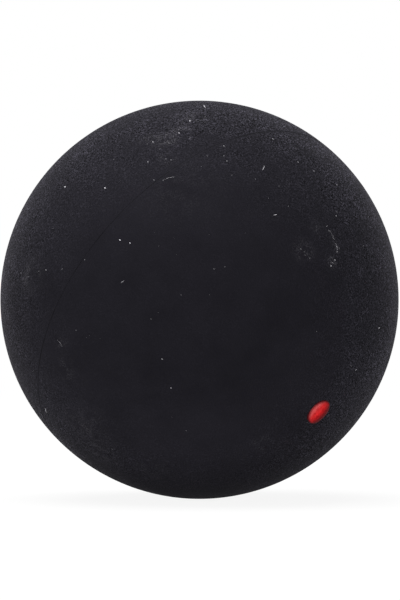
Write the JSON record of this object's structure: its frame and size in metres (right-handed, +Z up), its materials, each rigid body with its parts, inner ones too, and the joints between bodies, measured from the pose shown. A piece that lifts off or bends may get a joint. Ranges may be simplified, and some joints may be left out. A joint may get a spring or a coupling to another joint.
{
  "type": "squash ball",
  "caption": "Hollow 40 mm rubber squash ball of glued half shells, with a matt buffed surface and one small painted dot.",
  "frame": {"origin": "centre of the ball", "axes": "+Z up as the ball lies, -Y towards the viewer of the picture, +X to the viewer's right; the dotted pole points to azimuth -42.5 and elevation -34 degrees"},
  "size_m": [0.04, 0.04, 0.04],
  "materials": {
    "buffed_rubber": "matt black rubber with a fine buffed grain and a little dust",
    "cured_adhesive": "cured black rubber adhesive, seen outside only as a hairline",
    "red_paint": "thick dried red paint, satin, slightly uneven"
  },
  "bodies": {
    "root": {"dotted_half_shell": "buffed_rubber", "plain_half_shell": "buffed_rubber", "adhesive_joint": "cured_adhesive", "speed_dot": "red_paint"}
  },
  "joints": []
}
